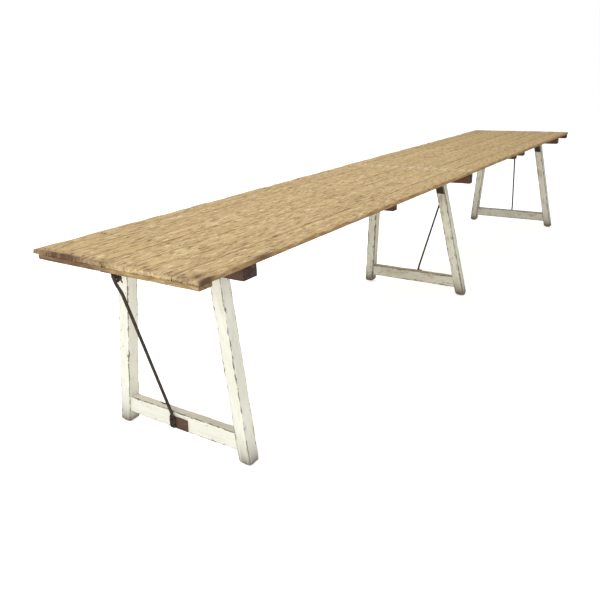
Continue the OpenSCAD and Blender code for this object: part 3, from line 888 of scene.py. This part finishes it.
# %% [markdown]
# ## Legs and stretchers
# A leg is a square bar that leans two ways at once, so its centre line is found from the solid:
# the middle of its lowest and of its highest points. Its foot is battered round by years of
# being dragged. The stretcher is tenoned into the two legs; the bar made here stops inside them,
# short of the tenons' tips, because nothing past that point is seen.

# %% Legs
FRAMES = ("near", "middle", "far")
TENON_TIP = 0.018


def end_middles(node):
    """Centres of the lowest and highest faces of a leg, and its section."""
    points = node_points(node)
    low_z, high_z = points[:, 2].min(), points[:, 2].max()
    middles = []
    for level in (low_z, high_z):
        ring = points[np.abs(points[:, 2] - level) < 0.0005]
        middles.append((ring.min(axis=0) + ring.max(axis=0)) / 2)
        section = ring.max(axis=0) - ring.min(axis=0)
    return middles[0], middles[1], section


def foot_grime(points, world):
    return 1.5 * np.exp(-world[:, 2] / 0.040) + 0.2 * np.exp(-world[:, 2] / 0.15)


def leg_mesh(node, seed):
    foot, head, section = end_middles(node)
    length = head[2] - foot[2]
    slope = (head - foot) / length

    def place(along, across, up):
        x = foot[0] + section[0] / 2 - across + slope[0] * along
        y = foot[1] + up - section[1] / 2 + slope[1] * along
        return x, y, foot[2] + along

    wear = {"edge": (0.0040, 0.0040, 0.0040, 0.0040), "fibre": 0.0006, "start": 0.017, "end": 0.002,
            "ragged": (0.0, 0.0), "round_ends": 1.0}
    size = (length, section[0], section[1])
    return worn_timber(node + "_timber", size, (12, 5), place, seed, wear, {"foot": foot_grime})


def stretcher_mesh(node, seed):
    low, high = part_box(node)
    lean = end_middles(f"{node.split('_')[0]}_leg_right")
    slope = (lean[1][0] - lean[0][0]) / (lean[1][2] - lean[0][2])
    height = high.z - low.z
    thick = high.x - low.x - abs(slope) * height
    base_x = low.x if slope >= 0 else high.x - thick

    def place(along, across, up):
        x = base_x + thick - across + slope * up
        return x, low.y + TENON_TIP + along, low.z + up

    wear = {"edge": (0.0028, 0.0028, 0.0025, 0.0025), "fibre": 0.0005, "start": 0.001, "end": 0.001,
            "ragged": (0.0, 0.0), "round_ends": 1.0}
    size = (high.y - low.y - 2 * TENON_TIP, thick, height)
    masks = {"foot": lambda points, world: 0.12 * np.ones(len(points))}
    return worn_timber(node + "_timber", size, (12, 5), place, seed, wear, masks)


for count, name in enumerate(FRAMES):
    for side, extra in (("right", 0), ("left", 7)):
        node = f"{name}_leg_{side}"
        finish_piece(node + "_timber", leg_mesh(node, 401 + 31 * count + extra), PAINTS[name], [node])
    node = f"{name}_stretcher"
    finish_piece(node + "_timber", stretcher_mesh(node, 503 + 17 * count), PAINTS[name], [node])
print("legs and stretchers:", 3 * len(FRAMES))

# %% [markdown]
# ## Hinges, staples and loops
# The small iron plates are already the right shape in the solid model. A copy is merged, its
# coplanar triangles are dissolved into faces and its sharp edges are bevelled; the pits and rust
# of the iron material do the rest. That is quicker than drawing them again, and it fits the joints.

# %% Iron plates
# Each kind of plate: its iron, and how wide its edges are bevelled.
PLATE_KINDS = {
    "hinge_plates": (BLACK_IRON, 0.0006),
    "hinge_flaps": (BLACK_IRON, 0.0006),
    "hinge_pins": (BROWN_IRON, 0.0003),
    "stay_staple": (BLACK_IRON, 0.0006),
    "stay_keeper": (BROWN_IRON, 0.0006),
}


def forged_copy(node, softness):
    mesh = frame["nodes"][node].data.copy()
    mesh.name = node + "_forged"
    work = bmesh.new()
    work.from_mesh(mesh)
    bmesh.ops.remove_doubles(work, verts=work.verts, dist=0.00001)
    bmesh.ops.dissolve_limit(work, angle_limit=math.radians(2), verts=work.verts, edges=work.edges)
    sharp = [e for e in work.edges if len(e.link_faces) == 2 and e.calc_face_angle(0) > math.radians(35)]
    bmesh.ops.bevel(work, geom=sharp, offset=softness, segments=2, profile=0.6, affect="EDGES",
                    clamp_overlap=True)
    bmesh.ops.triangulate(work, faces=work.faces)
    work.to_mesh(mesh)
    work.free()
    mesh.update()
    return mesh


for kind, (iron, softness) in PLATE_KINDS.items():
    for name in FRAMES:
        node = f"{name}_{kind}"
        finish_piece(node + "_forged", forged_copy(node, softness), iron, [node], smooth=False)
print("iron plates:", len(PLATE_KINDS) * len(FRAMES))

# %% [markdown]
# ## Nails
# The nails are many and alike, so a Geometry Nodes tree sets a hammered nail on every point of a
# guide mesh, turned at random and a little larger or smaller. Its sizes are named inputs, and a
# `facing` attribute on the guide says which way each nail points. Each run of nails becomes one
# plain mesh, and the modifier goes away with its guide.

# %% Fixings tree


def make_fixing_tree():
    tree = bpy.data.node_groups.new("fixings", "GeometryNodeTree")
    face = tree.interface
    face.new_socket("Geometry", in_out="INPUT", socket_type="NodeSocketGeometry")
    for label in ("Head Radius", "Head Height", "Shank Radius", "Shank Length"):
        face.new_socket(label, in_out="INPUT", socket_type="NodeSocketFloat")
    face.new_socket("Iron", in_out="INPUT", socket_type="NodeSocketMaterial")
    face.new_socket("Geometry", in_out="OUTPUT", socket_type="NodeSocketGeometry")
    ins, outs = tree.nodes.new("NodeGroupInput"), tree.nodes.new("NodeGroupOutput")

    def link(a, b):
        tree.links.new(a, b)

    head = add_node(tree, "GeometryNodeMeshUVSphere")
    set_inputs(head, {"Segments": 12, "Rings": 6, "Radius": 1.0})
    size = tree.nodes.new("ShaderNodeCombineXYZ")
    link(ins.outputs["Head Radius"], size.inputs[0])
    link(ins.outputs["Head Radius"], size.inputs[1])
    link(ins.outputs["Head Height"], size.inputs[2])
    flatten = tree.nodes.new("GeometryNodeTransform")
    link(head.outputs["Mesh"], flatten.inputs["Geometry"])
    link(size.outputs[0], flatten.inputs["Scale"])
    shank = add_node(tree, "GeometryNodeMeshCylinder")
    set_inputs(shank, {"Vertices": 8})
    link(ins.outputs["Shank Radius"], shank.inputs["Radius"])
    link(ins.outputs["Shank Length"], shank.inputs["Depth"])
    half = math_node(tree, "MULTIPLY", ins.outputs["Shank Length"], -0.5)
    drop = tree.nodes.new("ShaderNodeCombineXYZ")
    link(half, drop.inputs[2])
    lower = tree.nodes.new("GeometryNodeTransform")
    link(shank.outputs["Mesh"], lower.inputs["Geometry"])
    link(drop.outputs[0], lower.inputs["Translation"])
    join = tree.nodes.new("GeometryNodeJoinGeometry")
    link(flatten.outputs[0], join.inputs[0])
    link(lower.outputs[0], join.inputs[0])
    turn = add_node(tree, "FunctionNodeRandomValue", data_type="FLOAT_VECTOR")
    set_inputs(turn, {"Min": (-0.05, -0.05, 0.0), "Max": (0.05, 0.05, 6.28), "Seed": 3})
    grow = add_node(tree, "FunctionNodeRandomValue", data_type="FLOAT")
    grow.inputs[2].default_value = 0.86
    grow.inputs[3].default_value = 1.0
    grow.inputs["Seed"].default_value = 5
    facing = add_node(tree, "GeometryNodeInputNamedAttribute", data_type="FLOAT_VECTOR")
    facing.inputs["Name"].default_value = "facing"
    align = add_node(tree, "FunctionNodeAlignRotationToVector", axis="Z")
    link(facing.outputs["Attribute"], align.inputs["Vector"])
    to_turn = tree.nodes.new("FunctionNodeEulerToRotation")
    link(turn.outputs[0], to_turn.inputs[0])
    both = add_node(tree, "FunctionNodeRotateRotation", rotation_space="LOCAL")
    link(align.outputs[0], both.inputs[0])
    link(to_turn.outputs[0], both.inputs[1])
    put = tree.nodes.new("GeometryNodeInstanceOnPoints")
    link(ins.outputs["Geometry"], put.inputs["Points"])
    link(join.outputs[0], put.inputs["Instance"])
    link(both.outputs[0], put.inputs["Rotation"])
    link(grow.outputs[1], put.inputs["Scale"])
    real = tree.nodes.new("GeometryNodeRealizeInstances")
    link(put.outputs[0], real.inputs[0])
    coat = tree.nodes.new("GeometryNodeSetMaterial")
    link(real.outputs[0], coat.inputs["Geometry"])
    link(ins.outputs["Iron"], coat.inputs["Material"])
    link(coat.outputs[0], outs.inputs[0])
    return tree


FIXINGS = make_fixing_tree()
NAIL_SIZES = {"Head Radius": 0.0033, "Head Height": 0.0011, "Shank Radius": 0.0014, "Shank Length": 0.0265}
HEAD_SUNK = 0.0013


def fixings_mesh(name, places, facings, sizes, iron):
    guide = bpy.data.meshes.new(name + "_guide")
    guide.from_pydata([tuple(p) for p in places], [], [])
    facing = guide.attributes.new("facing", "FLOAT_VECTOR", "POINT")
    facing.data.foreach_set("vector", np.array(facings, float).ravel())
    holder = bpy.data.objects.new(name + "_guide", guide)
    bpy.context.collection.objects.link(holder)
    modifier = holder.modifiers.new("fixings", "NODES")
    modifier.node_group = FIXINGS
    sockets = {s.name: s.identifier for s in FIXINGS.interface.items_tree
               if s.item_type == "SOCKET" and s.in_out == "INPUT"}
    for label, value in {**sizes, "Iron": iron}.items():
        modifier[sockets[label]] = value
    made = holder.evaluated_get(bpy.context.evaluated_depsgraph_get())
    mesh = bpy.data.meshes.new_from_object(made)
    mesh.name = name
    bpy.data.objects.remove(holder)
    bpy.data.meshes.remove(guide)
    return mesh


for node, places in NAILS.items():
    low = places - np.array([0, 0, HEAD_SUNK])
    mesh = fixings_mesh(node + "_hammered", low, [(0, 0, 1)] * len(low), NAIL_SIZES, BROWN_IRON)
    finish_piece(node + "_hammered", mesh, BROWN_IRON, [node])
print("nails:", {node: len(at) for node, at in NAILS.items()})

# %% [markdown]
# ## Bars swept along a path
# A forged bar could be a curve with a round bevel, but a curve can't carry hammer marks. So a
# ring of points is carried along the path instead, without twisting, and each point is pushed in
# a little by the noise. The corners of a path are rounded first, as a smith's bends are.

# %% Swept bars
HAMMER_MARKS = 0.07


def rounded_path(points, corner, per_corner=8, gap=0.012):
    """The points joined by straight runs, with an arc-like bend of size corner at each."""
    points = [Vector(p) for p in points]
    path = [points[0]]
    for before, at, after in zip(points, points[1:], points[2:]):
        reach = min(corner, (at - before).length * 0.45, (after - at).length * 0.45)
        a = at + (before - at).normalized() * reach
        b = at + (after - at).normalized() * reach
        for k in range(per_corner + 1):
            t = k / per_corner
            path.append(a * (1 - t) ** 2 + at * 2 * t * (1 - t) + b * t ** 2)
    path.append(points[-1])
    dense = [path[0]]
    for p in path[1:]:
        pieces = max(1, round((p - dense[-1]).length / gap))
        start = dense[-1].copy()
        dense += [start.lerp(p, (k + 1) / pieces) for k in range(pieces)]
    return dense


def swept_bar(path, radius, seed, around=14, closed=False):
    """Points and quads of a bar along the path; radius is a function of the share along it."""
    path = [Vector(p) for p in path]
    count = len(path)
    side = None
    points, quads = [], []
    for k, at in enumerate(path):
        before = path[(k - 1) % count] if closed or k else at
        after = path[(k + 1) % count] if closed or k < count - 1 else at
        ahead = (after - before).normalized()
        if side is None:
            side = ahead.orthogonal().normalized()
        side = (side - ahead * side.dot(ahead)).normalized()
        other = ahead.cross(side)
        share = k / max(count - 1, 1)
        for j in range(around):
            angle = 2 * math.pi * j / around
            mark = 1 - HAMMER_MARKS * float(uneven(k * 0.37, j * 0.9, seed))
            r = radius(share) * mark
            points.append(at + (side * math.cos(angle) + other * math.sin(angle)) * r)
    rings = count if closed else count - 1
    for k in range(rings):
        for j in range(around):
            a, b = k * around + j, k * around + (j + 1) % around
            c, d = ((k + 1) % count) * around + (j + 1) % around, ((k + 1) % count) * around + j
            quads.append((a, b, c, d))
    if not closed:
        for k, flip in ((0, True), (count - 1, False)):
            centre = len(points)
            ahead = (path[0] - path[1] if flip else path[-1] - path[-2]).normalized()
            points.append(path[k] + ahead * radius(0.0 if flip else 1.0) * 0.5)
            ring = [k * around + j for j in range(around)]
            for a, b in zip(ring, ring[1:] + ring[:1]):
                quads.append((centre, b, a) if flip else (centre, a, b))
    return points, quads


def joined_mesh(name, parts):
    points, faces = [], []
    for part_points, part_faces in parts:
        base = len(points)
        points += [tuple(p) for p in part_points]
        faces += [tuple(base + i for i in face) for face in part_faces]
    mesh = bpy.data.meshes.new(name)
    mesh.from_pydata(points, [], faces)
    return mesh


def ring_path(centre, radius, steps_round=36):
    turns = [2 * math.pi * k / steps_round for k in range(steps_round)]
    return [centre + Vector((math.cos(t) * radius, 0, math.sin(t) * radius)) for t in turns]


def lowest_middle(node, radius):
    """Centre of the bar, of the given radius, at the lowest place of a node."""
    points = node_points(node)
    tip = points[points[:, 2] < points[:, 2].min() + 0.0012]
    middle = (tip.min(axis=0) + tip.max(axis=0)) / 2
    return Vector((middle[0], middle[1], points[:, 2].min() + radius))


print("bar helpers ready")

# %% [markdown]
# ## Stay rods
# A stay is a bar that the smith bent, with an eye at the top that swings on its staple and a
# short tail beside the eye. It runs from the joint's own place down to its lowest tip, and it is
# a shade thicker at both ends. On the near stay the last stretch is a small link, shaped like a
# letter A, that hangs on the stud, with a spur above it.

# %% Stay rods
MM = 0.001
ROD_RADIUS = {"near": 0.0060, "middle": 0.0058, "far": 0.0058}
EYE_RADIUS = {"near": 0.0109, "middle": 0.0107, "far": 0.0107}
TIP_RADIUS = {"near": 0.0046, "middle": 0.0061, "far": 0.0061}
# Bends of each stay in millimetres: top and tail from the eye's centre, foot from the lowest tip.
STAYS = {
    "near": {"top": [(-7, 2, -8.4), (3, 8, -27), (24, 13, -62)], "foot": [(0, 0, 58)],
             "tail": [(10.9, 0, -2), (15, -7, -20)]},
    "middle": {"top": [(-5, 0, -9.7), (-30, -2, -22)], "foot": [(14, 1, 30), (0, 0, 12), (0, 0, 0)],
               "tail": [(-10.7, 0, 2), (-14, 6, -14)]},
    "far": {"top": [(-3, 0, -10.7), (-12, -1, -30)], "foot": [(6, 0, 34), (0, 0, 0)],
            "tail": [(-10.7, 0, 2), (-14, 6, -14)]},
}
FOOT_LINK = [(0, 0, 59), (0, 9, 40), (0, 10, 0), (0, -10, 0), (0, -9, 40), (0, 0, 59)]
SPUR = [(-14, -2, 104), (-18, 15, 101), (-19, 29, 106)]


def mm_from(base, offset):
    return base + Vector(offset) * MM


def stay_mesh(name, seed):
    plan = STAYS[name]
    rod = ROD_RADIUS[name]
    eye = JOINT_AT[f"{name}_stay_swing"]
    tip = lowest_middle(f"{name}_stay", TIP_RADIUS[name])

    def rod_radius(share):
        return rod * (0.97 + 0.03 * (math.exp(-share / 0.03) + math.exp(-(1 - share) / 0.05)))

    corners = [mm_from(eye, p) for p in plan["top"]] + [mm_from(tip, p) for p in plan["foot"]]
    parts = [
        swept_bar(rounded_path(corners, 0.014), rod_radius, seed),
        swept_bar(ring_path(eye, EYE_RADIUS[name]), lambda share: rod * 0.97, seed + 1, closed=True),
        swept_bar(rounded_path([mm_from(eye, p) for p in plan["tail"]], 0.004, gap=0.003),
                  lambda share: 0.0030 - 0.0010 * share, seed + 2, around=10),
    ]
    if name == "near":
        link = rounded_path([mm_from(tip, p) for p in FOOT_LINK], 0.007, gap=0.004)
        parts.append(swept_bar(link, lambda share: 0.0036 + 0.0005 * math.sin(math.pi * share), seed + 4))
        spur = rounded_path([mm_from(tip, p) for p in SPUR], 0.006, gap=0.003)
        parts.append(swept_bar(spur, lambda share: 0.0027 - 0.0010 * share, seed + 3, around=10))
    return joined_mesh(f"{name}_stay_rod_forged", parts)


for count, name in enumerate(FRAMES):
    mesh = stay_mesh(name, 601 + 9 * count)
    finish_piece(f"{name}_stay_rod_forged", mesh, BLACK_IRON, [f"{name}_stay"])
print("stays:", len(FRAMES))

# %% [markdown]
# ## Last checks
# Every solid should now have a detailed stand-in; any solid still plain is printed.

# %% Finish
left_plain = [name for name, o in frame["nodes"].items() if not o.hide_render]
print("solids still plain:", left_plain)
